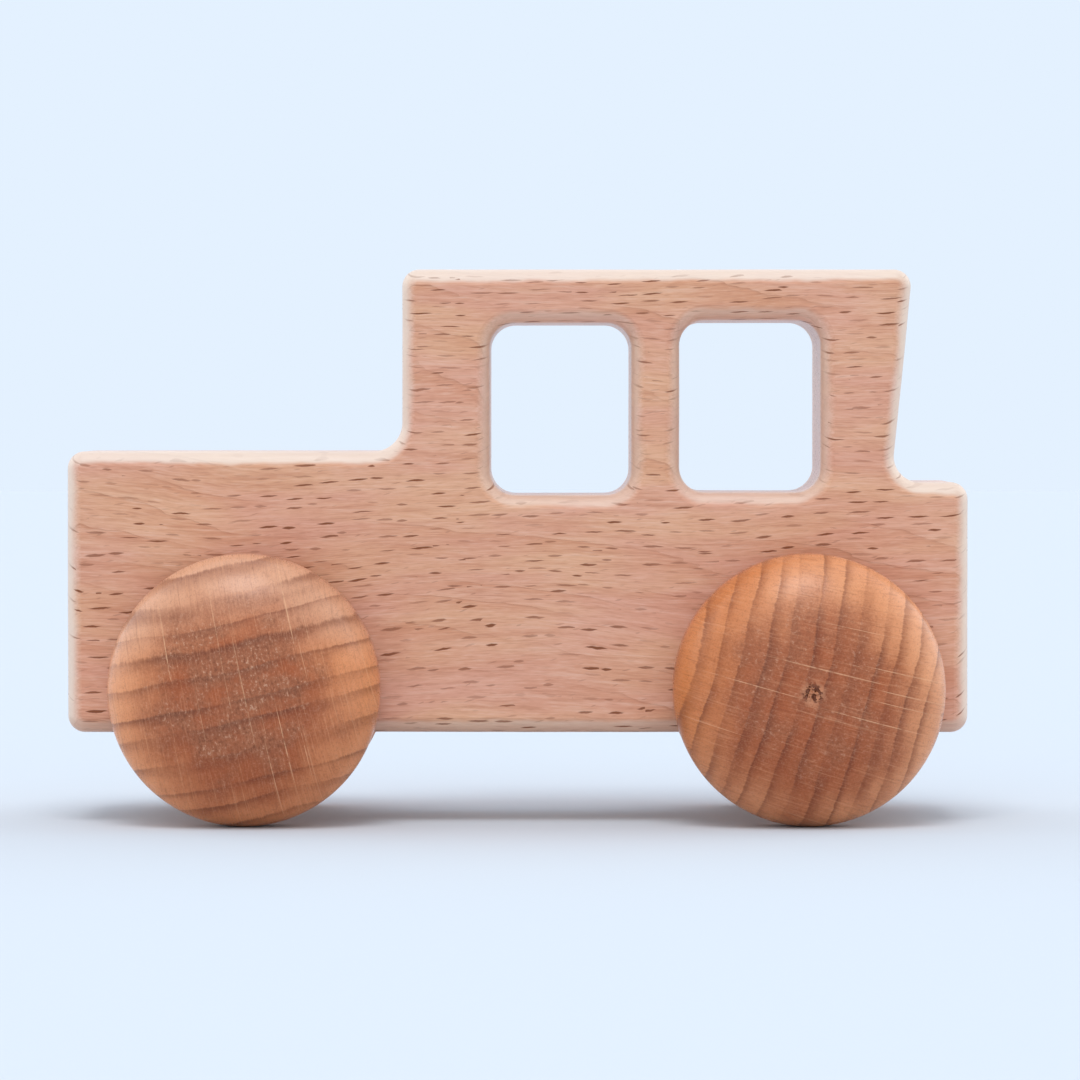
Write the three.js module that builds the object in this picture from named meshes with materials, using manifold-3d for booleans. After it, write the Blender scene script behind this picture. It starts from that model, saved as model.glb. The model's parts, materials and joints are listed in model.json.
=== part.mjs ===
// A push-along toy car in solid beech. One thick board with two windows is the whole body, and four
// domed wheels are glued in pairs on two dowel axles, which turn in bores through the board.
//
// Millimetres, +Z up. The nose points along -X, so the car's left side faces -Y. The origin is on
// the ground, under the middle of the car.
import * as THREE from "three";
import { mergeVertices } from "three/addons/utils/BufferGeometryUtils.js";
import Module from "manifold-3d";

const wasm = await Module();
wasm.setup();

// The board, seen from its side. Heights are above the ground.
const boardLength = 120;
const boardThickness = 24;
const edgeRoundOver = 2; // quarter-round along every edge, windows included
const undersideHeight = 12;
const hoodHeight = 49.5;
const rearDeckHeight = 45.4;
const roofHeight = 73.7;
const windscreenX = -15.4;
const cabinBackAtDeckX = 49.8; // the cabin's back leans out towards the roof
const cabinBackAtRoofX = 52.6;

const outerCornerRadius = 2.3;
const windscreenFootRadius = 3.8;
const cabinBackFootRadius = 3.4;

// The windows are routed right through the board.
const windowWidth = 18.7;
const windowHeight = 22.8;
const windowCornerRadius = 3.3;
const windowCentres = [
  { x: 5.7, z: 55.1 },
  { x: 30.9, z: 55.45 },
];

// Wheels and axles.
const wheelRadius = 18;
const wheelThickness = 14;
const wheelBackRoundOver = 2;
const wheelTreadWidth = 2.5; // the straight part of the rim, between its back edge and the dome
const wheelToBoardGap = 1.2;
const axleHeight = wheelRadius;
const frontAxleX = -36.1;
const rearAxleX = 38.5;

const axleRadius = 3;
const axleEndChamfer = 0.5;
const boardBoreRadius = axleRadius + 0.08; // running clearance
const wheelBoreRadius = axleRadius + 0.05; // glue line
const wheelBoreDepth = 9;
const axleEndToBoreFloor = 0.5;

// Facets.
const arcSegments = 4; // half the number of facets on each rounded corner of an outline
const roundOverSegments = 5;
const turnedSegments = 48;
const domeSegments = 12;
const wheelRoundOverSegments = 4;

const beech = (color, roughness) => new THREE.MeshStandardMaterial({ color, roughness, metalness: 0 });
const beechBoard = () => beech(0xcfa489, 0.55);
const beechWheel = () => beech(0xb0754f, 0.5);
const beechDowel = () => beech(0xd8b08c, 0.6);

// Draws a closed outline round a list of corners, each { x, y, radius }, with an arc tangent to both
// sides of each corner.
function roundedOutline(outline, corners) {
  corners.forEach((corner, i) => {
    const at = new THREE.Vector2(corner.x, corner.y);
    const before = corners[(i + corners.length - 1) % corners.length];
    const after = corners[(i + 1) % corners.length];
    const toBefore = new THREE.Vector2(before.x, before.y).sub(at).normalize();
    const toAfter = new THREE.Vector2(after.x, after.y).sub(at).normalize();
    const halfAngle = Math.acos(toBefore.dot(toAfter)) / 2;
    const tangentLength = corner.radius / Math.tan(halfAngle);
    const start = at.clone().addScaledVector(toBefore, tangentLength);
    const end = at.clone().addScaledVector(toAfter, tangentLength);
    const bisector = toBefore.clone().add(toAfter).normalize();
    const centre = at.clone().addScaledVector(bisector, corner.radius / Math.sin(halfAngle));
    const turnsRight = toBefore.cross(toAfter) > 0;
    const startAngle = start.sub(centre).angle();
    const endAngle = end.sub(centre).angle();
    outline.absarc(centre.x, centre.y, corner.radius, startAngle, endAngle, turnsRight);
  });
  outline.closePath();
  return outline;
}

function boardOutline() {
  const nose = -boardLength / 2;
  const tail = boardLength / 2;
  const outer = outerCornerRadius;
  return roundedOutline(new THREE.Shape(), [
    { x: nose, y: undersideHeight, radius: outer },
    { x: tail, y: undersideHeight, radius: outer },
    { x: tail, y: rearDeckHeight, radius: outer },
    { x: cabinBackAtDeckX, y: rearDeckHeight, radius: cabinBackFootRadius },
    { x: cabinBackAtRoofX, y: roofHeight, radius: outer },
    { x: windscreenX, y: roofHeight, radius: outer },
    { x: windscreenX, y: hoodHeight, radius: windscreenFootRadius },
    { x: nose, y: hoodHeight, radius: outer },
  ]);
}

function windowOutline(centre) {
  const halfWidth = windowWidth / 2;
  const halfHeight = windowHeight / 2;
  const corner = (side, end) => ({
    x: centre.x + side * halfWidth,
    y: centre.z + end * halfHeight,
    radius: windowCornerRadius,
  });
  const corners = [corner(-1, -1), corner(-1, 1), corner(1, 1), corner(1, -1)];
  return roundedOutline(new THREE.Path(), corners);
}

// A closed geometry as a manifold-3d solid, and back.
function solidOf(geometry) {
  geometry.deleteAttribute("normal");
  geometry.deleteAttribute("uv");
  const merged = mergeVertices(geometry, 1e-4);
  return new wasm.Manifold(
    new wasm.Mesh({
      numProp: 3,
      vertProperties: merged.getAttribute("position").array,
      triVerts: new Uint32Array(merged.index.array),
    }),
  );
}

function geometryOf(solid) {
  const made = solid.getMesh();
  const geometry = new THREE.BufferGeometry();
  geometry.setAttribute("position", new THREE.BufferAttribute(made.vertProperties, 3));
  geometry.setIndex(new THREE.BufferAttribute(made.triVerts, 1));
  geometry.computeVertexNormals();
  return geometry;
}

function boardGeometry() {
  const outline = boardOutline();
  windowCentres.forEach((centre) => outline.holes.push(windowOutline(centre)));
  const straightDepth = boardThickness - 2 * edgeRoundOver;
  const board = new THREE.ExtrudeGeometry(outline, {
    depth: straightDepth,
    curveSegments: arcSegments,
    bevelThickness: edgeRoundOver,
    bevelSize: edgeRoundOver,
    bevelOffset: -edgeRoundOver, // the outline stays the widest section
    bevelSegments: roundOverSegments,
  });
  board.translate(0, 0, -straightDepth / 2);
  board.rotateX(Math.PI / 2); // the outline's Y becomes height
  return board;
}

function boreCutter(x) {
  const radius = boardBoreRadius;
  const length = 2 * boardThickness;
  const cutter = new THREE.CylinderGeometry(radius, radius, length, turnedSegments);
  cutter.translate(x, 0, axleHeight);
  return cutter;
}

function carBody() {
  const bored = [frontAxleX, rearAxleX].reduce(
    (solid, x) => solid.subtract(solidOf(boreCutter(x))),
    solidOf(boardGeometry()),
  );
  const mesh = new THREE.Mesh(geometryOf(bored), beechBoard());
  mesh.name = "car_body";
  return mesh;
}

// A quarter of an ellipse in a turned profile, drawn anticlockwise from an angle. The profile's X is
// the distance from the turning axis, and its Y runs along that axis.
function quarterEllipse(centre, across, along, fromAngle, segments) {
  return Array.from({ length: segments + 1 }, (_, i) => {
    const angle = fromAngle + (Math.PI / 2) * (i / segments);
    return new THREE.Vector2(centre.x + across * Math.cos(angle), centre.y + along * Math.sin(angle));
  });
}

// A wheel turned about Y: its flat back is at y = 0 with the blind bore in it, and its dome faces +Y.
function wheelGeometry() {
  const domeStart = wheelBackRoundOver + wheelTreadWidth;
  const domeHeight = wheelThickness - domeStart;
  const roundOver = quarterEllipse(
    { x: wheelRadius - wheelBackRoundOver, y: wheelBackRoundOver },
    wheelBackRoundOver,
    wheelBackRoundOver,
    -Math.PI / 2,
    wheelRoundOverSegments,
  );
  const dome = quarterEllipse({ x: 0, y: domeStart }, wheelRadius, domeHeight, 0, domeSegments);
  dome[dome.length - 1].x = 0;
  const bore = [
    new THREE.Vector2(0, wheelBoreDepth),
    new THREE.Vector2(wheelBoreRadius, wheelBoreDepth),
    new THREE.Vector2(wheelBoreRadius, 0),
  ];
  return new THREE.LatheGeometry([...bore, ...roundOver, ...dome], turnedSegments);
}

function wheel(name, side) {
  const mesh = new THREE.Mesh(wheelGeometry(), beechWheel());
  mesh.name = name;
  mesh.position.y = side * (boardThickness / 2 + wheelToBoardGap);
  mesh.rotation.z = side > 0 ? 0 : Math.PI;
  return mesh;
}

function axle(name) {
  const glued = wheelBoreDepth - axleEndToBoreFloor;
  const halfLength = boardThickness / 2 + wheelToBoardGap + glued;
  const profile = [
    new THREE.Vector2(0, -halfLength),
    new THREE.Vector2(axleRadius - axleEndChamfer, -halfLength),
    new THREE.Vector2(axleRadius, -halfLength + axleEndChamfer),
    new THREE.Vector2(axleRadius, halfLength - axleEndChamfer),
    new THREE.Vector2(axleRadius - axleEndChamfer, halfLength),
    new THREE.Vector2(0, halfLength),
  ];
  const mesh = new THREE.Mesh(new THREE.LatheGeometry(profile, turnedSegments), beechDowel());
  mesh.name = name;
  return mesh;
}

// Two wheels on their dowel. They turn together.
function wheelset(end, x) {
  const group = new THREE.Group();
  group.position.set(x, 0, axleHeight);
  group.add(axle(`${end}_axle`));
  group.add(wheel(`${end}_left_wheel`, -1));
  group.add(wheel(`${end}_right_wheel`, 1));
  return group;
}

const car = new THREE.Group();
car.add(carBody());
car.add(wheelset("front", frontAxleX));
car.add(wheelset("rear", rearAxleX));

export default car;
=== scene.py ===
"""Looks of the solid beech push-along car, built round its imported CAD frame.

Blender works in metres. Names that end in _MM hold millimetres, and MM turns them into metres. The
functions that work out points work in millimetres.
"""

import json
import math
from typing import NamedTuple

import bpy
import numpy as np
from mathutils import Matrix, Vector, noise
from mathutils.bvhtree import BVHTree
from mathutils.geometry import delaunay_2d_cdt


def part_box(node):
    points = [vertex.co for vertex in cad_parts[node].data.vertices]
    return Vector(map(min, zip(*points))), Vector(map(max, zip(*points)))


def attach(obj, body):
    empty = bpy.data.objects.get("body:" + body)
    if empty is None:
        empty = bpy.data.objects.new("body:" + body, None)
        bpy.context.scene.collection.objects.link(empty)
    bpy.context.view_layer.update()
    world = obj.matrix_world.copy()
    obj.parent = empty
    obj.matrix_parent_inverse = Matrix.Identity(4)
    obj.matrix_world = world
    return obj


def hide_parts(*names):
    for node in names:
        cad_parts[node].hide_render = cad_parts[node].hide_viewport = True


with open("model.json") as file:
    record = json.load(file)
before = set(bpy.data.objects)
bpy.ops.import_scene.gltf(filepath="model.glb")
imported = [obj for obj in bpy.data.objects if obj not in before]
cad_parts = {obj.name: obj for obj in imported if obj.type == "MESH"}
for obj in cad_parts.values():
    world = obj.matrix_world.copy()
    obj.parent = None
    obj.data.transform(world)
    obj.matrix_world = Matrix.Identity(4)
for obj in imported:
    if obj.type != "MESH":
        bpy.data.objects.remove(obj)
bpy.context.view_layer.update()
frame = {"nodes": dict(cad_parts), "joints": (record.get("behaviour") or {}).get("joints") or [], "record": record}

MM = 0.001
OPENINGS = {opening["name"]: opening for opening in frame["record"]["physics"]["openings"]}


def srgb(red, green, blue):
    """A linear colour from screen values of 0 to 255."""
    channels = [c / 255 for c in (red, green, blue)]
    return tuple(c / 12.92 if c <= 0.04045 else ((c + 0.055) / 1.055) ** 2.4 for c in channels) + (1.0,)


# Board: the radii of its outline's corners and of the round-over along its edges.
OUTER_CORNER_MM = 2.3
WINDSCREEN_FOOT_MM = 3.8
CABIN_BACK_FOOT_MM = 3.4
WINDOW_CORNER_MM = 3.3
EDGE_ROUND_OVER_MM = 2.0
EDGE_CREASE_DEGREES = 10  # how far the round-over stops short of running into the face and the wall
BORE_CHAMFER_MM = 0.3
EDGE_LEAST = 0.86  # the round-over's radius wanders along an edge, from this share of it up by EDGE_WANDER
EDGE_WANDER = 0.28
EDGE_WAVE_MM = 6.0
LOOPS_APART_MM = 9.0  # in the noise that makes each outline wander in its own way
EDGE_CLEARANCE_MM = 0.05  # the least room between the round-over's radius and a corner's
BOARD_DIP_MM = 0.07  # the faces' slow waves, and the finer ones on them
BOARD_WAVE_MM = 17.0
BOARD_FINE_DIP_MM = 0.02
BOARD_FINE_WAVE_MM = 3.5

# Where the rays that measure the board start, so that none of them meets a rounded corner.
BEYOND_MM = 5.0
HOOD_FEEL_SHARE = 0.6  # of the way from the board's middle to its nose
DECK_FEEL_MM = 4.5  # in from the tail
CABIN_BACK_FEEL_SHARES = (0.3, 0.7)  # of the way from the deck to the roof

# How pale the round-overs are painted, where a face is 0 and the outside's round-over is 1: partly sanding wear,
# partly a painted sheen of the light on them.
WALL_PALENESS = 0.3
WINDOW_PALENESS = 0.6

# Wheels.
BACK_ROUND_OVER_MM = 2.0
TREAD_MM = 2.5
GLUE_GAP_MM = 0.05
BORE_END_GAP_MM = 0.5  # between the dowel's end and the blind bore's
DOME_FROM_SHARE = 0.6  # of the wheel's thickness, where wear on the dome starts
WHEEL_DIP_MM = 0.05
WHEEL_WAVE_MM = 8.0
TORN_REACH_MM = 11.0
TORN_DIP_MM = 0.08
TORN_WAVE_MM = 0.7
SPLIT_REACH_MM = 2.2
SPLIT_DIP_MM = 0.4
SPLIT_POINTS = 5  # the split is a star with this many points, turned by SPLIT_TURN radians
SPLIT_TURN = 0.8

# Axles.
AXLE_CHAMFER_MM = 0.5
AXLE_DIP_MM = 0.02
AXLE_WAVE_MM = 4.0

# Mesh density.
OUTLINE_STEP_MM = 0.8
ARC_STEP_MM = 0.4
LEAST_ARC_STEPS = 4
FACE_STEP_MM = 1.1
FACE_EDGE_GAP = 0.6  # the least room between a face's inner points and its rims, in steps
MERGE_MM = 1e-5  # points of a face closer than this are one
ON_AXIS_MM = 1e-6  # a turned point closer to the axis than this lies on it
ROUND_OVER_STEPS = 8
WALL_STEPS = 18
CIRCLE_SEGMENTS = 64
WHEEL_SEGMENTS = 240
DOME_STEPS = 64
TREAD_STEPS = 4
WHEEL_BACK_STEPS = 14
BORE_STEPS = 8
AXLE_STEPS = 40

# The board's log: where its middle would be, how far out from it the board was cut, and the width of a ring.
PITH_ACROSS_MM = 90.0
PITH_HEIGHT_MM = 110.0
BOARD_LOG_RADIUS_MM = 120.0
BOARD_RING_MM = 2.4

# How deep the wood's grain is.
RELIEF_MM = 0.035
DOWEL_RELIEF_MM = 0.03

# The board's colours.
BOARD_PINK = srgb(222, 162, 137)
BOARD_TAN = srgb(226, 172, 137)
BOARD_BAND = srgb(214, 150, 116)
BOARD_LATE_WOOD = srgb(204, 132, 92)
BOARD_RING_EDGE = srgb(156, 98, 66)
DARK_STREAK = srgb(186, 120, 88)
PALE_STREAK = srgb(240, 204, 182)
DARK_FIBRE = srgb(172, 108, 76)
PALE_FIBRE = srgb(244, 213, 194)
END_GRAIN = srgb(206, 146, 108)
END_GRAIN_PALE = srgb(232, 184, 146)
END_GRAIN_DARK = srgb(160, 102, 70)
# The round-overs' pale colour: sanding wear with a painted sheen of the light on them.
SANDED_AND_SHEEN = srgb(236, 220, 204)
BOARD_SPECK = srgb(140, 84, 56)
BOARD_FLECK = srgb(132, 70, 32)

# The wheels' colours.
# Dark oil-soaked end grain, also used as painted shade on the dome's lower part.
WHEEL_OILED_AND_SHADE = srgb(169, 88, 49)
WHEEL_ORANGE = srgb(233, 154, 104)
WHEEL_PINK = srgb(219, 161, 127)
WHEEL_RUSSET = srgb(214, 130, 76)
WHEEL_HONEY = srgb(228, 155, 109)
WHEEL_LATE_WOOD = srgb(120, 52, 25)
WHEEL_RING_EDGE = srgb(96, 44, 26)
DARK_HATCH = srgb(120, 64, 40)
PALE_HATCH = srgb(226, 164, 124)
DARK_PORE = srgb(112, 58, 36)
PALE_PORE = srgb(228, 166, 128)
FAINT_RAY = srgb(226, 162, 118)
BRIGHT_RAY = srgb(240, 186, 144)
WHEEL_FLECK = srgb(150, 84, 48)
ROUGHENED = srgb(150, 106, 80)
# Torn grain in the wheel's middle: pale torn fibres with a painted highlight on them, and painted shade in the
# pits between them.
TORN_FIBRE_HIGHLIGHT = srgb(222, 176, 146)
TORN_PIT_SHADE = srgb(100, 52, 32)
SPLIT_LIP = srgb(216, 152, 114)
# Painted shade inside the wheel's split.
SPLIT_SHADE = srgb(84, 38, 20)
WHEEL_IOR = 1.38
SHADE_BELOW_MIDDLE_MM = 2.5  # how far below the wheel's middle the dark oil-soaked patch is centred, which paints shade on the wheel's lower part

# The dowels' colours.
DOWEL_PALE = srgb(226, 184, 146)
DOWEL_TAN = srgb(212, 163, 124)
DOWEL_FLECK = srgb(150, 100, 70)

# Studio.
BACKGROUND = srgb(228, 241, 255)
FLOOR_COLOUR = (0.636, 0.678, 0.727, 1.0)
FLOOR_RADIUS_MM = 3000.0
FLOOR_SEGMENTS = 96
GLOW = 0.72  # the light from all round, and what comes on top of it from straight behind and above
GLOW_BEHIND = 0.42
GLOW_ABOVE = 0.2
CAMERA_DISTANCE = 0.68
CAMERA_X = 0.00297
CAMERA_HEIGHT = 0.0543
CAMERA_TIP_DEGREES = 1.403
SENSOR_MM = 36.0
VIEW_WIDTH = 0.1439  # how much the picture takes in, at the board's near face


# --------------------------------------------------------------------------------------- node arithmetic
class Field:
    """One output of a material's node tree. Arithmetic on it adds nodes to that tree."""

    def __init__(self, graph, socket):
        self.graph = graph
        self.socket = socket

    def __add__(self, other):
        return self.graph.math("ADD", self, other)

    def __radd__(self, other):
        return self.graph.math("ADD", other, self)

    def __sub__(self, other):
        return self.graph.math("SUBTRACT", self, other)

    def __rsub__(self, other):
        return self.graph.math("SUBTRACT", other, self)

    def __mul__(self, other):
        return self.graph.math("MULTIPLY", self, other)

    def __truediv__(self, other):
        return self.graph.math("DIVIDE", self, other)

    def __pow__(self, other):
        return self.graph.math("POWER", self, other)

    def __abs__(self):
        return self.graph.math("ABSOLUTE", self)

    def sqrt(self):
        return self.graph.math("SQRT", self)

    def fract(self):
        return self.graph.math("FRACT", self)

    def between(self, low, high):
        """0 at low and beyond, 1 at high and beyond, with a smooth step from one to the other."""
        node = self.graph.node("ShaderNodeMapRange", interpolation_type="SMOOTHSTEP")
        self.graph.feed(node.inputs["Value"], self)
        self.graph.feed(node.inputs["From Min"], low)
        self.graph.feed(node.inputs["From Max"], high)
        return Field(self.graph, node.outputs["Result"])


class Graph:
    """The node tree of a material or a world, and methods that each add one node to it."""

    def __init__(self, owner):
        owner.use_nodes = True
        self.owner = owner
        self.tree = owner.node_tree

    def node(self, kind, **settings):
        node = self.tree.nodes.new(kind)
        for key, value in settings.items():
            setattr(node, key, value)
        return node

    def feed(self, socket, value):
        if isinstance(value, Field):
            self.tree.links.new(value.socket, socket)
        else:
            socket.default_value = value

    def math(self, operation, *values):
        node = self.node("ShaderNodeMath", operation=operation)
        for socket, value in zip(node.inputs, values):
            self.feed(socket, value)
        return Field(self, node.outputs["Value"])

    def split(self, vector):
        node = self.node("ShaderNodeSeparateXYZ")
        self.feed(node.inputs["Vector"], vector)
        return [Field(self, socket) for socket in node.outputs]

    def join(self, x, y, z):
        node = self.node("ShaderNodeCombineXYZ")
        for socket, value in zip(node.inputs, (x, y, z)):
            self.feed(socket, value)
        return Field(self, node.outputs["Vector"])

    def source(self, kind, output, **settings):
        return Field(self, self.node(kind, **settings).outputs[output])

    def place_mm(self):
        """The point's place in the piece, in millimetres, as three fields."""
        return [axis / MM for axis in self.split(self.source("ShaderNodeTexCoord", "Object"))]

    def normal(self):
        """The surface's direction in the piece, as three fields."""
        return self.split(self.source("ShaderNodeTexCoord", "Normal"))

    def attribute(self, name):
        return self.source("ShaderNodeAttribute", "Fac", attribute_name=name)

    def noise(self, x, y, z, detail=2.0, roughness=0.5):
        node = self.node("ShaderNodeTexNoise")
        self.feed(node.inputs["Vector"], self.join(x, y, z))
        node.inputs["Scale"].default_value = 1.0
        node.inputs["Detail"].default_value = detail
        node.inputs["Roughness"].default_value = roughness
        return Field(self, node.outputs["Fac"])

    def cells(self, x, y, z, randomness):
        """The way from the nearest of a jittered grid of points, as three fields, and three random
        numbers of that point."""
        node = self.node("ShaderNodeTexVoronoi", feature="F1")
        self.feed(node.inputs["Vector"], self.join(x, y, z))
        node.inputs["Scale"].default_value = 1.0
        node.inputs["Randomness"].default_value = randomness
        centre = self.split(Field(self, node.outputs["Position"]))
        away = [here - there for here, there in zip((x, y, z), centre)]
        return away, self.split(Field(self, node.outputs["Color"]))

    def mix(self, factor, first, second):
        """A colour from first (factor 0) to second (factor 1). Plain colours are linear RGB."""
        node = self.node("ShaderNodeMix", data_type="RGBA")
        self.feed(node.inputs[0], factor)
        self.feed(node.inputs[6], first)
        self.feed(node.inputs[7], second)
        return Field(self, node.outputs[2])

    def coats(self, colour, *coats):
        """The colour with one (factor, colour) coat after another mixed over it."""
        for factor, coat in coats:
            colour = self.mix(factor, colour, coat)
        return colour

    def bump(self, height, distance_mm):
        node = self.node("ShaderNodeBump")
        node.inputs["Strength"].default_value = 1.0
        node.inputs["Distance"].default_value = distance_mm * MM
        self.feed(node.inputs["Height"], height)
        return Field(self, node.outputs["Normal"])

    def surface(self, colour, roughness, relief, relief_mm=RELIEF_MM, ior=1.5):
        """Feeds the material's shader, and gives the material."""
        inputs = self.tree.nodes["Principled BSDF"].inputs
        inputs["IOR"].default_value = ior
        self.feed(inputs["Base Color"], colour)
        self.feed(inputs["Roughness"], roughness)
        self.feed(inputs["Normal"], self.bump(relief, relief_mm))
        return self.owner


# ------------------------------------------------------------------------------------------------- wood
def log_place(graph, across, height, pith_across_mm, pith_height_mm, radius_mm):
    """Where a point lies in the log: out from the pith, and round the pith as an arc, both in
    millimetres. radius_mm is the radius at which that arc is true to size. The pith must lie above the
    piece."""
    to_pith_across = pith_across_mm - across
    to_pith_height = pith_height_mm - height
    out = (to_pith_across * to_pith_across + to_pith_height * to_pith_height).sqrt()
    angle = graph.math("ARCTAN2", to_pith_height, to_pith_across)
    return out, angle * radius_mm


def rays(graph, place, cell, half_length_mm, half_depth_mm, half_thickness_mm, tilt=0.0, randomness=0.85):
    """Medullary rays: thin ribbons that run out from the pith, one to a cell. place is (along the fibre,
    out, arc), and cell is a cell's size in the same order. half_length_mm and half_thickness_mm are the
    least and the most. Gives 1 inside a ray and 0 outside, with a soft edge, and a random number for each
    ray."""
    scaled = [position / size for position, size in zip(place, cell)]
    away, (length_pick, thickness_pick, pick) = graph.cells(*scaled, randomness)
    u, v, w = [part * size for part, size in zip(away, cell)]
    low, high = half_length_mm
    length = length_pick * (high - low) + low
    low, high = half_thickness_mm
    thickness = thickness_pick * (high - low) + low
    w = w + u * (pick * tilt)
    lens = 1.0 - (u / length) ** 2.0 - (v / half_depth_mm) ** 2.0 - abs(w) / thickness
    return lens.between(0.0, 0.55), pick


def board_rings(graph, along, out, arc, end_grain):
    """The board's growth rings: the late wood that fades across a ring, and the dark line along its edge.
    The log tapers, so the rings slope along the board."""
    uneven = (graph.noise(along / 60.0, 0.0, out / 5.0, detail=1.0) - 0.5) * 4.0
    jitter = (graph.noise(along / 5.0, out / 1.5, arc / 1.5) - 0.5) * 0.7
    phase = ((out - along * 0.1 + uneven + jitter) / BOARD_RING_MM).fract()
    strength = graph.noise(along / 26.0, out / 4.0, arc / 14.0, detail=1.0).between(0.38, 0.66)
    strength = graph.math("MAXIMUM", strength, end_grain * 0.9)
    late_wood = (1.0 - phase.between(0.0, 0.8)) * strength
    ring_edge = (1.0 - phase.between(0.0, 0.09)) * strength
    return late_wood, ring_edge


def board_rays(graph, along, out, arc, end_grain, cut_across):
    """The board's dark ray flecks and its finer specks."""
    ragged = arc + (graph.noise(along / 1.2, out / 4.0, arc / 0.8) - 0.5) * 0.22
    place = (along, out, ragged)
    fleck, shade = rays(
        graph, place, (3.9, 13.0, 1.65), (0.8, 1.95), 14.0, (0.12, 0.19), tilt=0.05, randomness=0.8
    )
    speck, speck_shade = rays(
        graph, place, (3.1, 9.0, 1.5), (0.4, 0.9), 8.0, (0.06, 0.1), tilt=0.2, randomness=0.95
    )
    crowd = graph.noise(along / 16.0, out / 9.0, arc / 5.0, detail=1.0).between(0.32, 0.56) * 0.5 + 0.5
    fleck = fleck * (shade.between(-0.1, 0.8) * 0.75 + 0.25) * cut_across * crowd * (1.0 - end_grain * 0.88)
    speck = speck * speck_shade * 0.4 * cut_across * (1.0 - end_grain * 0.7)
    return fleck, speck


def worn_and_sheen_edges(graph, place, facing):
    """How pale the round-overs are painted: partly sanding wear and partly a painted sheen of the light on them.
    The paleness runs up to a clear line on those that look up or down, and little by little on those at the car's
    two ends. Those that face down are paled least, which is painted shade under them."""
    x, y, z = place
    face_x, _, face_z = facing
    bend = graph.attribute("bend") + (graph.noise(x / 4.0, y / 1.2, z / 4.0) - 0.5) * 0.3
    level = face_z * face_z / (face_x * face_x + face_z * face_z + 0.01)
    gradual = bend.between(0.0, 0.62)
    worn_and_sheen = gradual + (bend.between(0.02, 0.3) - gradual) * level
    paleness = graph.attribute("paleness")
    # Round-overs that face down are paled less: painted shade below, where the painted sheen from above does not
    # reach.
    return paleness * worn_and_sheen * (1.0 - face_z.between(0.1, -0.8) * paleness * 0.65)


def board_material():
    """Sanded beech, cut aslant to the growth rings: pinkish tan, with faint ring edges that run down towards the
    tail, short dark ray flecks, and smoother round-overs painted paler, partly for sanding wear and partly as a
    painted sheen of the light on them."""
    graph = Graph(bpy.data.materials.new("beech_board"))
    x, y, z = graph.place_mm()
    face_x, face_y, face_z = graph.normal()
    sway = graph.noise(x / 55.0, y / 30.0, z / 22.0, detail=1.0) - 0.5
    curl = graph.noise(x / 14.0, y / 9.0, z / 6.0) - 0.5
    height = z + sway * 7.0 + curl * 0.9
    out, arc = log_place(graph, y, height, PITH_ACROSS_MM, PITH_HEIGHT_MM, BOARD_LOG_RADIUS_MM)

    # Rays are darkest where the surface cuts straight across them, and hardly show where it lies along them.
    along_rays = abs(face_z * (PITH_ACROSS_MM - y) - face_y * (PITH_HEIGHT_MM - height)) / out
    cut_across = 1.0 - along_rays.between(0.7, 0.96) * 0.8
    end_grain = abs(face_x).between(0.5, 0.95)
    late_wood, ring_edge = board_rings(graph, x, out, arc, end_grain)
    fleck, speck = board_rays(graph, x, out, arc, end_grain, cut_across)
    edge = worn_and_sheen_edges(graph, (x, y, z), (face_x, face_y, face_z))
    burnished = abs(face_y).between(0.9, 0.3)

    patches = graph.noise(x / 26.0, out / 9.0, arc / 5.0).between(0.35, 0.65)
    bands = graph.noise(x / 30.0, out / 2.6, arc / 2.6).between(0.38, 0.68)
    streaks = graph.noise(x / 9.0, out / 0.5, arc / 0.5, detail=3.0, roughness=0.62)
    fibres = graph.noise(x / 2.2, out / 0.16, arc / 0.16, roughness=0.6)
    hatching = graph.noise(x / 3.0, out / 4.0, arc / 0.22, roughness=0.7)
    colour = graph.coats(
        graph.mix(patches, BOARD_PINK, BOARD_TAN),
        (bands * 0.4, BOARD_BAND),
        (late_wood * 0.4, BOARD_LATE_WOOD),
        (ring_edge * 0.32, BOARD_RING_EDGE),
        (streaks.between(0.45, 0.8) * 0.5, DARK_STREAK),
        (streaks.between(0.5, 0.2) * 0.34, PALE_STREAK),
        (fibres.between(0.45, 0.8) * 0.34, DARK_FIBRE),
        (fibres.between(0.5, 0.2) * 0.26, PALE_FIBRE),
        (end_grain * 0.5, END_GRAIN),
        (hatching.between(0.5, 0.72) * end_grain * 0.3, END_GRAIN_PALE),
        (hatching.between(0.5, 0.3) * end_grain * 0.25, END_GRAIN_DARK),
        # Pale round-overs: sanding wear with a painted sheen, less on those facing down as painted shade.
        (edge * 0.72, SANDED_AND_SHEEN),
        (speck, BOARD_SPECK),
        (fleck * (1.05 - edge * 0.25), BOARD_FLECK),
    )
    relief = fibres * 0.6 + streaks * 0.5 - fleck * 0.7 - ring_edge * 0.3
    return graph.surface(colour, 0.42 + streaks * 0.14 - burnished * 0.2, relief)


def wheel_rings(graph, across, out, hatching, comb, ring_mm, seed):
    """A wheel's growth rings: the late wood, the dark line along a ring's edge, and how strong both are.
    The hatching and the coarser comb make the lines jagged."""
    uneven = (graph.noise(seed, 0.0, out / 5.5, detail=1.0) - 0.5) * 5.0
    phase = ((out + uneven + (comb - 0.5) * 0.4 + (hatching - 0.5) * 0.3) / ring_mm).fract()
    strength = graph.noise(across / 10.0, out / 2.8, seed, detail=1.0).between(0.3, 0.65)
    late_wood = (1.0 - phase.between(0.05, 0.7)) * phase.between(0.0, 0.1)
    ring_edge = (1.0 - phase.between(0.05, 0.25)) * phase.between(0.0, 0.08)
    return late_wood, ring_edge, strength


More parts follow.
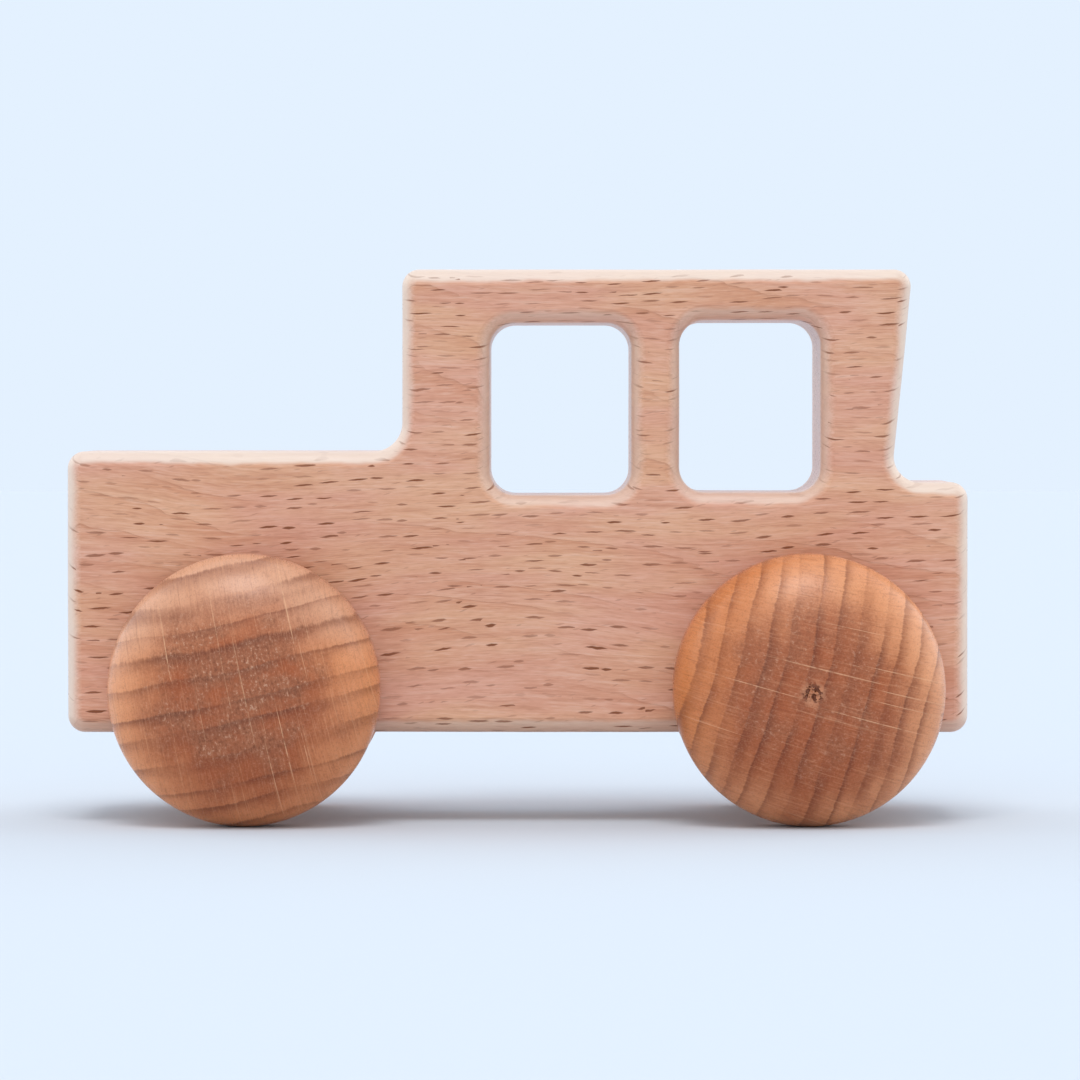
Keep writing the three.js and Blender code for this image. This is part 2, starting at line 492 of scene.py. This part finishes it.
def wheel_rays(graph, across, height, along, out, arc, radius, seed):
    """A wheel's rays: the few bright ones and the many faint ones across the end grain, and the dark
    flecks that they leave on the tread, where the fibre lies along the surface."""
    place = (along, out, arc + seed * 9.0)
    bright, pick = rays(
        graph, place, (60.0, 19.0, 2.1), (40.0, 41.0), 10.0, (0.09, 0.15), randomness=0.95
    )
    broken = graph.noise(across / 1.5, height / 1.5, seed).between(0.25, 0.5)
    bright = bright * pick.between(0.2, 0.75) * broken * (1.0 - radius.between(9.0, 16.0) * 0.6)
    place = (along, out, arc + seed * 5.0)
    faint, pick = rays(graph, place, (9.0, 5.0, 0.75), (5.0, 6.0), 3.5, (0.05, 0.09), randomness=0.95)
    place = (along, out, arc + seed * 7.0)
    fleck, _ = rays(graph, place, (4.0, 8.0, 1.3), (0.7, 1.5), 7.0, (0.07, 0.13), tilt=0.2)
    return bright, faint * pick, fleck


def split_middle(graph, x, z, radius, seed):
    """The small split in the middle of a wheel's face: its dark core, which is painted shade inside the split, and
    its raised lip.
    """
    splits = graph.noise(x / 0.8, seed, z / 0.8)
    core = splits.between(0.48, 0.56) * radius.between(1.7, 0.7)
    lip = splits.between(0.56, 0.46) * radius.between(2.3, 1.0)
    return core, lip


class Blank(NamedTuple):
    """The wood that a wheel is turned from. turn_degrees turns the log's radius through the wheel from
    upright, pith_mm is how far off the pith lies, and near and far are the colours of the rim on the
    pith's side and on the other. torn is how much torn grain roughens the middle, seed moves the pattern,
    and cracked gives the middle a small split."""

    turn_degrees: float
    pith_mm: float
    ring_mm: float
    near: tuple
    far: tuple
    torn: float
    seed: float
    cracked: bool = False


def wheel_material(name, blank):
    """Turned beech finished with oil, with its fibre along the axle. The dome's end grain has soaked up oil: it is
    dark in the middle, with ring lines and pale rays across them, and pales towards the rim. The dark patch sits a
    little below the middle, so it also paints shade on the dome's lower part."""
    graph = Graph(bpy.data.materials.new(name))
    x, y, z = graph.place_mm()
    _, face_y, _ = graph.normal()
    radius = (x * x + z * z).sqrt()
    turn = math.radians(blank.turn_degrees)
    seed = blank.seed
    across = x * math.cos(turn) + z * math.sin(turn)
    height = z * math.cos(turn) - x * math.sin(turn)
    wander = graph.noise(across / 14.0 + seed, height / 14.0, y / 30.0, detail=1.0) - 0.5
    out, arc = log_place(graph, across, height + wander * 2.2, 0.0, blank.pith_mm, blank.pith_mm)

    hatching = graph.noise(arc / 0.22 + seed, out / 3.2, y / 6.0, roughness=0.7)
    comb = graph.noise(arc / 0.7 + seed, out / 5.0, y / 9.0, detail=1.0)
    late_wood, ring_edge, strength = wheel_rings(graph, across, out, hatching, comb, blank.ring_mm, seed)
    bright, faint, fleck = wheel_rays(graph, across, height, y, out, arc, radius, seed)
    long_grain = 1.0 - face_y.between(0.15, 0.5)
    pores = graph.noise(across / 0.24, height / 0.24, y / 2.5, roughness=0.7)

    mottle = graph.noise(across / 5.0 + seed, height / 5.0, y / 9.0)
    # The dark oil-soaked patch is centred below the wheel's middle: painted shade on the dome's lower part.
    below = z + SHADE_BELOW_MIDDLE_MM
    from_dark_patch = (x * x + below * below * 0.85).sqrt() + (mottle - 0.5) * 7.0
    oil_and_shade = from_dark_patch.between(17.5, 8.0) * face_y.between(0.2, 0.6)
    drift = graph.noise(x / 13.0 + seed, y / 20.0, z / 13.0, detail=0.0) - 0.5
    tint = (out - blank.pith_mm + drift * 22.0).between(-17.0, 3.0)

    clumps = graph.noise(across / 4.2 + seed, height / 2.8, y / 3.0, detail=3.0).between(0.28, 0.62)
    fuzz = graph.noise(arc / 0.4 + seed, out / 0.55, y / 0.9, detail=3.0, roughness=0.7)
    middle = (radius + (mottle - 0.5) * 16.0).between(14.0, 7.0)
    rough = clumps * middle * blank.torn

    colour = graph.coats(
        graph.mix(tint, blank.near, blank.far),
        (oil_and_shade, WHEEL_OILED_AND_SHADE),
        (late_wood * (strength * 0.4 + 0.12) * (oil_and_shade * 0.6 + 1.0), WHEEL_LATE_WOOD),
        (ring_edge * (strength * 0.2 + 0.04), WHEEL_RING_EDGE),
        (hatching.between(0.5, 0.75) * 0.26, DARK_HATCH),
        (hatching.between(0.5, 0.25) * 0.26, PALE_HATCH),
        (pores.between(0.5, 0.75) * 0.26, DARK_PORE),
        (pores.between(0.5, 0.25) * 0.22, PALE_PORE),
        (faint * 0.3, FAINT_RAY),
        (bright * 0.68, BRIGHT_RAY),
        (fleck * long_grain * 0.5, WHEEL_FLECK),
        (rough * 0.36, ROUGHENED),
        # Torn grain: pale fibres with a painted highlight, then painted shade in the pits.
        (fuzz.between(0.54, 0.7) * (rough + 0.16) * 0.5, TORN_FIBRE_HIGHLIGHT),
        (fuzz.between(0.5, 0.34) * (rough + 0.24) * 0.4, TORN_PIT_SHADE),
    )
    relief = pores * 0.4 + hatching * 0.4 + fuzz * rough * 2.0 - ring_edge * 0.3 + bright * 0.3
    if blank.cracked:
        core, lip = split_middle(graph, x, z, radius, seed)
        # The split's dark core is painted shade inside it.
        colour = graph.coats(colour, (lip * 0.5, SPLIT_LIP), (core * 0.8, SPLIT_SHADE))
        relief = relief + lip * 2.0 - core * 6.0
    return graph.surface(colour, 0.22 + pores * 0.14 + rough * 0.25, relief, ior=WHEEL_IOR)


def dowel_material():
    """Bare beech dowel, with its fibre along the axle."""
    graph = Graph(bpy.data.materials.new("beech_dowel"))
    x, y, z = graph.place_mm()
    streaks = graph.noise(x / 0.7, y / 18.0, z / 0.7, detail=3.0, roughness=0.6)
    fleck, shade = rays(graph, (y, x, z), (3.4, 4.0, 1.2), (0.5, 1.1), 3.0, (0.07, 0.12))
    colour = graph.mix(streaks.between(0.3, 0.7), DOWEL_PALE, DOWEL_TAN)
    colour = graph.mix(fleck * (shade * 0.5 + 0.4), colour, DOWEL_FLECK)
    return graph.surface(colour, 0.5 + streaks * 0.15, streaks, DOWEL_RELIEF_MM)


# ------------------------------------------------------------------------------------------- mesh tools
def new_piece(name, points, faces, material):
    """A smooth-shaded mesh object, with its points in millimetres."""
    mesh = bpy.data.meshes.new(name)
    mesh.from_pydata([tuple(p) for p in np.asarray(points) * MM], [], faces)
    mesh.polygons.foreach_set("use_smooth", [True] * len(mesh.polygons))
    mesh.materials.append(material)
    mesh.validate()
    mesh.update()
    piece = bpy.data.objects.new(name, mesh)
    bpy.context.scene.collection.objects.link(piece)
    return piece


def sink(piece, depth_mm):
    """Moves each point of a mesh inwards along its normal, by depth_mm(point in millimetres)."""
    mesh = piece.data
    normals = [v.normal.copy() for v in mesh.vertices]
    for vertex, normal in zip(mesh.vertices, normals):
        vertex.co -= normal * (depth_mm(vertex.co / MM) * MM)
    mesh.update()


def sharpen(piece, pairs):
    """Shades each edge between a pair of points as a crease."""
    wanted = {tuple(sorted(pair)) for pair in pairs}
    for edge in piece.data.edges:
        edge.use_edge_sharp = tuple(sorted(edge.vertices)) in wanted


def ripple(point, wavelength_mm, seed=0.0):
    """Smooth noise from 0 to 1."""
    return 0.5 + 0.5 * noise.noise(point / wavelength_mm + Vector((seed, seed, seed)))


def box_mm(node):
    """The low and high corners of a CAD node, in millimetres."""
    low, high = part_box(node)
    return low / MM, high / MM


# ------------------------------------------------------------------------------------------------ board
def fit_corner(before, corner, after):
    """Where the arc at a corner (x, z, radius) between two others starts and ends, and its middle and
    radius."""
    at = np.array(corner[:2])
    radius = corner[2]
    to_before = np.array(before[:2]) - at
    to_after = np.array(after[:2]) - at
    to_before /= np.linalg.norm(to_before)
    to_after /= np.linalg.norm(to_after)
    half = math.acos(np.dot(to_before, to_after)) / 2
    reach = radius / math.tan(half)
    bisector = to_before + to_after
    bisector /= np.linalg.norm(bisector)
    centre = at + bisector * radius / math.sin(half)
    return at + to_before * reach, at + to_after * reach, centre, radius


def rounded_loop(corners):
    """Samples a closed outline round corners (x, z, radius), with the wood on its left. Gives its points
    and their directions out of the wood, in millimetres."""
    points, normals = [], []
    around = zip(corners[-1:] + corners[:-1], corners, corners[1:] + corners[:1])
    arcs = [fit_corner(*three) for three in around]
    for (start, end, centre, radius), following in zip(arcs, arcs[1:] + arcs[:1]):
        first, last = start - centre, end - centre
        turn = math.atan2(first[0] * last[1] - first[1] * last[0], np.dot(first, last))
        outward = 1.0 if turn > 0 else -1.0
        steps = max(LEAST_ARC_STEPS, math.ceil(abs(turn) * radius / ARC_STEP_MM))
        for k in range(steps + 1):
            cos, sin = math.cos(turn * k / steps), math.sin(turn * k / steps)
            spoke = np.array((first[0] * cos - first[1] * sin, first[0] * sin + first[1] * cos))
            points.append(centre + spoke)
            normals.append(outward * spoke / radius)
        stretch = following[0] - end
        steps = math.ceil(np.linalg.norm(stretch) / OUTLINE_STEP_MM)
        for k in range(1, steps):
            points.append(end + stretch * k / steps)
            normals.append(normals[-1])
    return np.array(points), np.array(normals)


def circle_loop(x, z, radius):
    """A round hole's outline, with the wood on its left."""
    angles = -np.arange(CIRCLE_SEGMENTS) * 2 * math.pi / CIRCLE_SEGMENTS
    spokes = np.stack((np.cos(angles), np.sin(angles)), 1)
    return np.array((x, z)) + spokes * radius, -spokes


def inside(points, loop):
    """Which points lie inside a closed loop."""
    crossed = np.zeros(len(points), bool)
    for (x0, z0), (x1, z1) in zip(loop, np.roll(loop, -1, 0)):
        if z0 == z1:
            continue
        spans = (z0 > points[:, 1]) != (z1 > points[:, 1])
        crossed ^= spans & (points[:, 0] < x0 + (points[:, 1] - z0) * (x1 - x0) / (z1 - z0))
    return crossed


def in_wood(points, rims):
    """Which points lie inside the first rim and outside the others."""
    keep = inside(points, rims[0])
    for hole in rims[1:]:
        keep &= ~inside(points, hole)
    return keep


def face_points(rims):
    """Evenly staggered points that fill the face between its rims."""
    low, high = rims[0].min(0), rims[0].max(0)
    rows = np.arange(low[1], high[1], FACE_STEP_MM * math.sqrt(3) / 2)
    grid = np.array([
        (x, z)
        for row, z in enumerate(rows)
        for x in np.arange(low[0] + (row % 2) * FACE_STEP_MM / 2, high[0], FACE_STEP_MM)
    ])
    grid = grid[in_wood(grid, rims)]
    edge = np.concatenate(rims)
    nearest = np.array([np.min(np.sum((edge - p) ** 2, 1)) for p in grid])
    return grid[nearest > (FACE_EDGE_GAP * FACE_STEP_MM) ** 2]


def face_triangles(rims):
    """The points that fill the face, and its triangles, which number the rims' points first and then
    those."""
    filling = face_points(rims)
    edges = []
    start = 0
    for rim in rims:
        edges += [(start + i, start + (i + 1) % len(rim)) for i in range(len(rim))]
        start += len(rim)
    flat = [Vector(p) for p in np.concatenate(rims + [filling])]
    found, _, triangles, sources, _, _ = delaunay_2d_cdt(flat, edges, [], 0, MERGE_MM)
    middles = np.array([np.mean([found[v] for v in t], 0) for t in triangles])
    kept = in_wood(middles, rims)
    return filling, [[sources[v][0] for v in t] for t, wanted in zip(triangles, kept) if wanted]


def round_over(share):
    """The round-over's profile from the wall (share 0) to the face (share 1): how far in from the outline
    and how far out along the wall, for a radius of 1. It stops a little short at both ends, which leaves
    a faint crease there."""
    first = math.radians(EDGE_CREASE_DEGREES)
    angle = first + share * (math.pi / 2 - 2 * first)
    span = math.cos(first) - math.sin(first)
    return (math.cos(first) - math.cos(angle)) / span, (math.sin(angle) - math.sin(first)) / span


def board_sections():
    """The rings round the board from its -Y face to its +Y face, each as (side, share): the side is -1 or
    1 on a round-over and 0 on the wall, and the share is how far along that stretch the ring lies."""
    sections = [(-1, k / ROUND_OVER_STEPS) for k in range(ROUND_OVER_STEPS, -1, -1)]
    sections += [(0, 2 * k / WALL_STEPS - 1) for k in range(1, WALL_STEPS)]
    return sections + [(1, k / ROUND_OVER_STEPS) for k in range(ROUND_OVER_STEPS + 1)]


class Skin:
    """The board's points and faces, the pairs of points along its creases, and each point's paleness and
    bend. The bend is 0 on a face and rises over a round-over to 1 on a wall."""

    def __init__(self):
        self.points = []
        self.faces = []
        self.creases = []
        self.paleness = []
        self.bend = []

    def add_points(self, points, paleness, bend):
        """Adds points that share one paleness and bend, and gives their numbers."""
        first = len(self.points)
        self.points.extend(points)
        self.paleness.extend([paleness] * len(points))
        self.bend.extend([bend] * len(points))
        return list(range(first, len(self.points)))

    def wrap(self, outline, normals, edge_radius, paleness, half_thickness):
        """Covers the wall and both round-overs along one closed outline, and gives the rings that end
        them."""
        rings = []
        for side, share in board_sections():
            across, up = round_over(share) if side else (0.0, 0.0)
            depth = (side or share) * (half_thickness - edge_radius) + side * edge_radius * up
            flat = outline - normals * (edge_radius * across)[:, None]
            points = np.stack((flat[:, 0], depth, flat[:, 1]), 1)
            # Each point's share of the round-overs' painted paleness: sanding wear with a painted sheen.
            worn_and_sheen = paleness * (1.0 if side else WALL_PALENESS)
            ring = self.add_points(points, worn_and_sheen, 1.0 - share if side else 1.0)
            if side and share in (0.0, 1.0):
                self.creases += zip(ring, ring[1:] + ring[:1])
            rings.append(ring)
        for low, high in zip(rings, rings[1:]):
            self.faces += zip(low, high, high[1:] + high[:1], low[1:] + low[:1])
        return rings[0], rings[-1]

    def close(self, side, rings, filling, triangles, depth):
        """Covers the face on one side, between the rings that end its round-overs."""
        numbers = [number for ring in rings for number in ring]
        numbers += self.add_points([np.array((x, side * depth, z)) for x, z in filling], 0.0, 0.0)
        for triangle in triangles:
            corners = [numbers[v] for v in triangle]
            self.faces.append(tuple(corners if side < 0 else reversed(corners)))


def board_skin(loops, half_thickness):
    """The board's skin. loops holds (points, normals, edge radius at each point, paleness), the outer one
    first."""
    skin = Skin()
    ends = [skin.wrap(*loop, half_thickness) for loop in loops]
    rims = [outline - normals * edge_radius[:, None] for outline, normals, edge_radius, _ in loops]
    filling, triangles = face_triangles(rims)
    skin.close(-1, [front for front, _ in ends], filling, triangles, half_thickness)
    skin.close(1, [back for _, back in ends], filling, triangles, half_thickness)
    return skin


def measure_board():
    """The board's outline corners, windows and bores, in millimetres, felt out on the CAD solid with
    rays."""
    low, high = box_mm("car_body")
    surface = BVHTree.FromObject(frame["nodes"]["car_body"], bpy.context.evaluated_depsgraph_get())

    def feel(x, z, step_x, step_z):
        hit = surface.ray_cast(Vector((x, 0.0, z)) * MM, Vector((step_x, 0.0, step_z)))[0]
        return hit.x / MM if step_x else hit.z / MM

    hood = feel(low.x * HOOD_FEEL_SHARE, high.z + BEYOND_MM, 0, -1)
    deck = feel(high.x - DECK_FEEL_MM, high.z + BEYOND_MM, 0, -1)
    windscreen = feel(low.x - BEYOND_MM, (hood + high.z) / 2, 1, 0)
    lower, upper = (deck + (high.z - deck) * share for share in CABIN_BACK_FEEL_SHARES)
    back_lower = feel(high.x + BEYOND_MM, lower, -1, 0)
    back_upper = feel(high.x + BEYOND_MM, upper, -1, 0)
    lean = (back_upper - back_lower) / (upper - lower)
    corners = [
        (low.x, low.z, OUTER_CORNER_MM),
        (high.x, low.z, OUTER_CORNER_MM),
        (high.x, deck, OUTER_CORNER_MM),
        (back_lower + (deck - lower) * lean, deck, CABIN_BACK_FOOT_MM),
        (back_lower + (high.z - lower) * lean, high.z, OUTER_CORNER_MM),
        (windscreen, high.z, OUTER_CORNER_MM),
        (windscreen, hood, WINDSCREEN_FOOT_MM),
        (low.x, hood, OUTER_CORNER_MM),
    ]
    windows = []
    for name in ("front_window", "rear_window"):
        box_low, box_high = (Vector(corner) / MM for corner in OPENINGS[name]["box_m"])
        middle = (box_low + box_high) / 2
        left, right = feel(middle.x, middle.z, -1, 0), feel(middle.x, middle.z, 1, 0)
        bottom, top = feel(middle.x, middle.z, 0, -1), feel(middle.x, middle.z, 0, 1)
        places = ((left, bottom), (left, top), (right, top), (right, bottom))
        windows.append([(x, z, WINDOW_CORNER_MM) for x, z in places])
    bores = []
    for joint in frame["joints"]:
        axle = Vector(joint["pos_m"]) / MM
        bores.append((axle.x, axle.z, feel(axle.x, axle.z, 0, 1) - axle.z))
    return corners, windows, bores, high.y


def board_dip(point):
    """How far the sanded wood has sunk at a point of the board."""
    return BOARD_DIP_MM * ripple(point, BOARD_WAVE_MM) + BOARD_FINE_DIP_MM * ripple(point, BOARD_FINE_WAVE_MM)


def make_board():
    corners, windows, bores, half_thickness = measure_board()
    loops = []
    for seed, outline in enumerate([corners] + windows):
        points, normals = rounded_loop(outline)
        wander = np.array([ripple(Vector((x, LOOPS_APART_MM * seed, z)), EDGE_WAVE_MM) for x, z in points])
        edge_radius = EDGE_ROUND_OVER_MM * (EDGE_LEAST + EDGE_WANDER * wander)
        edge_radius = np.minimum(edge_radius, OUTER_CORNER_MM - EDGE_CLEARANCE_MM)
        loops.append((points, normals, edge_radius, WINDOW_PALENESS if seed else 1.0))
    for x, z, radius in bores:
        points, normals = circle_loop(x, z, radius)
        loops.append((points, normals, np.full(len(points), BORE_CHAMFER_MM), 0.0))
    skin = board_skin(loops, half_thickness)
    board = new_piece("beech_car_body", skin.points, skin.faces, board_material())
    sharpen(board, skin.creases)
    for name, values in (("paleness", skin.paleness), ("bend", skin.bend)):
        board.data.attributes.new(name, "FLOAT", "POINT").data.foreach_set("value", values)
    sink(board, board_dip)
    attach(board, "chassis")
    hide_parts("car_body")


# ---------------------------------------------------------------------------------------- turned pieces
def turned(profile, segments):
    """Turns a profile of (radius, y) about the Y axis. It starts and ends on the axis, and runs towards
    +Y outside."""
    points, faces, rings = [], [], []
    for radius, y in profile:
        if radius < ON_AXIS_MM:
            rings.append([len(points)] * segments)
            points.append((0.0, y, 0.0))
            continue
        rings.append(range(len(points), len(points) + segments))
        for i in range(segments):
            angle = 2 * math.pi * i / segments
            points.append((radius * math.sin(angle), y, radius * math.cos(angle)))
    for lower, upper in zip(rings, rings[1:]):
        for i in range(segments):
            after = (i + 1) % segments
            corners = (lower[i], lower[after], upper[after], upper[i])
            faces.append(tuple(dict.fromkeys(corners)))
    return points, faces


def curve(centre, across, along, start_degrees, end_degrees, steps):
    """Points of an elliptical arc in a turned profile. centre is its (radius, y)."""
    sweep = end_degrees - start_degrees
    angles = [math.radians(start_degrees + sweep * k / steps) for k in range(steps + 1)]
    return [(centre[0] + across * math.cos(a), centre[1] + along * math.sin(a)) for a in angles]


def straight(start, end, steps):
    """Points of a straight stretch of a profile, without its ends."""
    return [
        (start[0] + (end[0] - start[0]) * k / steps, start[1] + (end[1] - start[1]) * k / steps)
        for k in range(1, steps)
    ]


def wheel_profile(radius, thickness, bore_radius, bore_depth):
    """Half of a wheel's section, from the blind bore's end round the back and the tread to the dome's
    top. The back lies at y = 0."""
    back = BACK_ROUND_OVER_MM
    tread_end = back + TREAD_MM
    bore_end, mouth = (bore_radius, bore_depth), (bore_radius, 0.0)
    profile = [(0.0, bore_depth), bore_end]
    profile += straight(bore_end, mouth, BORE_STEPS) + [mouth]
    profile += straight(mouth, (radius - back, 0.0), WHEEL_BACK_STEPS)
    profile += curve((radius - back, back), back, back, -90, 0, ROUND_OVER_STEPS)
    profile += straight((radius, back), (radius, tread_end), TREAD_STEPS)
    profile += curve((0.0, tread_end), radius, thickness - tread_end, 0, 90, DOME_STEPS)
    profile[-1] = (0.0, thickness)
    return profile


def wheel_dip(point, thickness, blank):
    """How far the wood has sunk at a point of a wheel: slow waves all over, torn grain in the middle of
    the dome, and the star-shaped split there."""
    from_axis = math.hypot(point.x, point.z)
    depth = WHEEL_DIP_MM * ripple(point, WHEEL_WAVE_MM, blank.seed)
    on_dome = point.y > thickness * DOME_FROM_SHARE
    if on_dome and from_axis < TORN_REACH_MM:
        fade = 1 - from_axis / TORN_REACH_MM
        depth += TORN_DIP_MM * blank.torn * fade * ripple(point, TORN_WAVE_MM, blank.seed)
    if on_dome and blank.cracked and from_axis < SPLIT_REACH_MM:
        star = 0.5 + 0.5 * math.cos(SPLIT_POINTS * math.atan2(point.z, point.x) + SPLIT_TURN)
        depth += SPLIT_DIP_MM * (1 - from_axis / SPLIT_REACH_MM) ** 1.5 * star
    return depth


def make_wheel(end, side, blank):
    """A wheel whose back is at its own y = 0 and whose dome points along its own +Y."""
    node = f"{end}_{side}_wheel"
    low, high = box_mm(node)
    axle_low, axle_high = box_mm(f"{end}_axle")
    left = side == "left"
    radius, thickness = (high.x - low.x) / 2, high.y - low.y
    back_y = high.y if left else low.y
    axle_end = axle_low.y if left else axle_high.y
    bore_radius = (axle_high.x - axle_low.x) / 2 + GLUE_GAP_MM
    bore_depth = abs(axle_end - back_y) + BORE_END_GAP_MM
    points, faces = turned(wheel_profile(radius, thickness, bore_radius, bore_depth), WHEEL_SEGMENTS)
    material = wheel_material(f"beech_wheel_{end}_{side}", blank)
    wheel = new_piece(f"{end}_{side}_domed_wheel", points, faces, material)
    sink(wheel, lambda point: wheel_dip(point, thickness, blank))
    wheel.location = Vector(((low.x + high.x) / 2, back_y, (low.z + high.z) / 2)) * MM
    wheel.rotation_euler.z = math.pi if left else 0.0
    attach(wheel, f"{end}_wheelset")
    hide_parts(node)


def make_axle(end, material):
    node = f"{end}_axle"
    low, high = box_mm(node)
    radius, half = (high.x - low.x) / 2, (high.y - low.y) / 2
    chamfer = AXLE_CHAMFER_MM
    shoulder_low, shoulder_high = (radius, -half + chamfer), (radius, half - chamfer)
    profile = [(0.0, -half), (radius - chamfer, -half), shoulder_low]
    profile += straight(shoulder_low, shoulder_high, AXLE_STEPS)
    profile += [shoulder_high, (radius - chamfer, half), (0.0, half)]
    points, faces = turned(profile, CIRCLE_SEGMENTS)
    axle = new_piece(f"{end}_dowel_axle", points, faces, material)
    sink(axle, lambda point: AXLE_DIP_MM * ripple(point, AXLE_WAVE_MM, len(end)))
    axle.location = (low + high) / 2 * MM
    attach(axle, f"{end}_wheelset")
    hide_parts(node)


# ----------------------------------------------------------------------------------------------- studio
def make_floor():
    points, faces = [(0.0, 0.0, 0.0)], []
    for i in range(FLOOR_SEGMENTS):
        angle = 2 * math.pi * i / FLOOR_SEGMENTS
        points.append((FLOOR_RADIUS_MM * math.cos(angle), FLOOR_RADIUS_MM * math.sin(angle), 0.0))
        faces.append((0, 1 + i, 1 + (i + 1) % FLOOR_SEGMENTS))
    graph = Graph(bpy.data.materials.new("pale_floor"))
    inputs = graph.tree.nodes["Principled BSDF"].inputs
    inputs["Base Color"].default_value = FLOOR_COLOUR
    inputs["Roughness"].default_value = 1.0
    inputs["Specular IOR Level"].default_value = 0.0
    new_piece("floor", points, faces, graph.owner)


def make_surroundings():
    """A backdrop of one pale colour all round. The light that it sheds is brighter from behind and above
    the car than from in front, as it is where a car stands before a white sweep in a darker room."""
    graph = Graph(bpy.data.worlds.new("soft_studio"))
    _, behind, above = graph.split(graph.source("ShaderNodeTexCoord", "Generated"))
    brightness = GLOW + behind * GLOW_BEHIND + above * GLOW_ABOVE
    seen = graph.source("ShaderNodeLightPath", "Is Camera Ray")
    inputs = graph.tree.nodes["Background"].inputs
    inputs["Color"].default_value = BACKGROUND
    graph.feed(inputs["Strength"], seen + (1.0 - seen) * brightness)
    bpy.context.scene.world = graph.owner


def make_light(name, azimuth, elevation, strength, spread, colour):
    """A sun whose light comes from that azimuth (0 is the camera's side, 90 is the tail's) and elevation.
    Its angles are in degrees, and its spread is how wide it looks."""
    data = bpy.data.lights.new(name, "SUN")
    data.energy = strength
    data.angle = math.radians(spread)
    data.color = colour
    light = bpy.data.objects.new(name, data)
    a, e = math.radians(azimuth), math.radians(elevation)
    towards = Vector((math.sin(a) * math.cos(e), -math.cos(a) * math.cos(e), math.sin(e)))
    light.rotation_euler = towards.to_track_quat("Z", "Y").to_euler()
    bpy.context.scene.collection.objects.link(light)


def make_studio():
    bpy.context.scene.view_settings.view_transform = "Standard"
    make_surroundings()
    make_floor()
    make_light("key", -5, 24, strength=0.92, spread=80, colour=(1.0, 0.97, 0.93))
    make_light("overhead", -4, 67, strength=0.97, spread=26, colour=(0.98, 0.99, 1.02))
    make_light("nose_side", -110, 20, strength=0.62, spread=60, colour=(1.0, 0.96, 0.91))
    make_light("tail_side", 110, 20, strength=0.84, spread=60, colour=(1.0, 0.96, 0.9))


def make_camera():
    """Level with the cabin, a little to the tail's side of the middle, and tipped down by what brings the
    car to the middle of the picture."""
    low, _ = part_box("car_body")
    data = bpy.data.cameras.new("camera")
    data.sensor_width = SENSOR_MM
    data.lens = SENSOR_MM * CAMERA_DISTANCE / VIEW_WIDTH
    camera = bpy.data.objects.new("camera", data)
    camera.location = (CAMERA_X, low.y + EDGE_ROUND_OVER_MM * MM - CAMERA_DISTANCE, CAMERA_HEIGHT)
    camera.rotation_euler.x = math.radians(90 - CAMERA_TIP_DEGREES)
    bpy.context.scene.collection.objects.link(camera)
    bpy.context.scene.camera = camera


# ---------------------------------------------------------------------------------------------- the car
make_camera()
make_studio()
make_board()

dowel = dowel_material()
make_axle("front", dowel)
make_axle("rear", dowel)

front_left = Blank(-12, 350, 3.4, WHEEL_PINK, WHEEL_ORANGE, torn=1.0, seed=0.0)
rear_left = Blank(-75, 200, 2.75, WHEEL_RUSSET, WHEEL_HONEY, torn=0.55, seed=2.0, cracked=True)
front_right = Blank(40, 120, 3.0, WHEEL_ORANGE, WHEEL_RUSSET, torn=0.4, seed=4.0)
rear_right = Blank(-25, 90, 3.6, WHEEL_PINK, WHEEL_ORANGE, torn=0.6, seed=6.0)
make_wheel("front", "left", front_left)
make_wheel("rear", "left", rear_left)
make_wheel("front", "right", front_right)
make_wheel("rear", "right", rear_right)
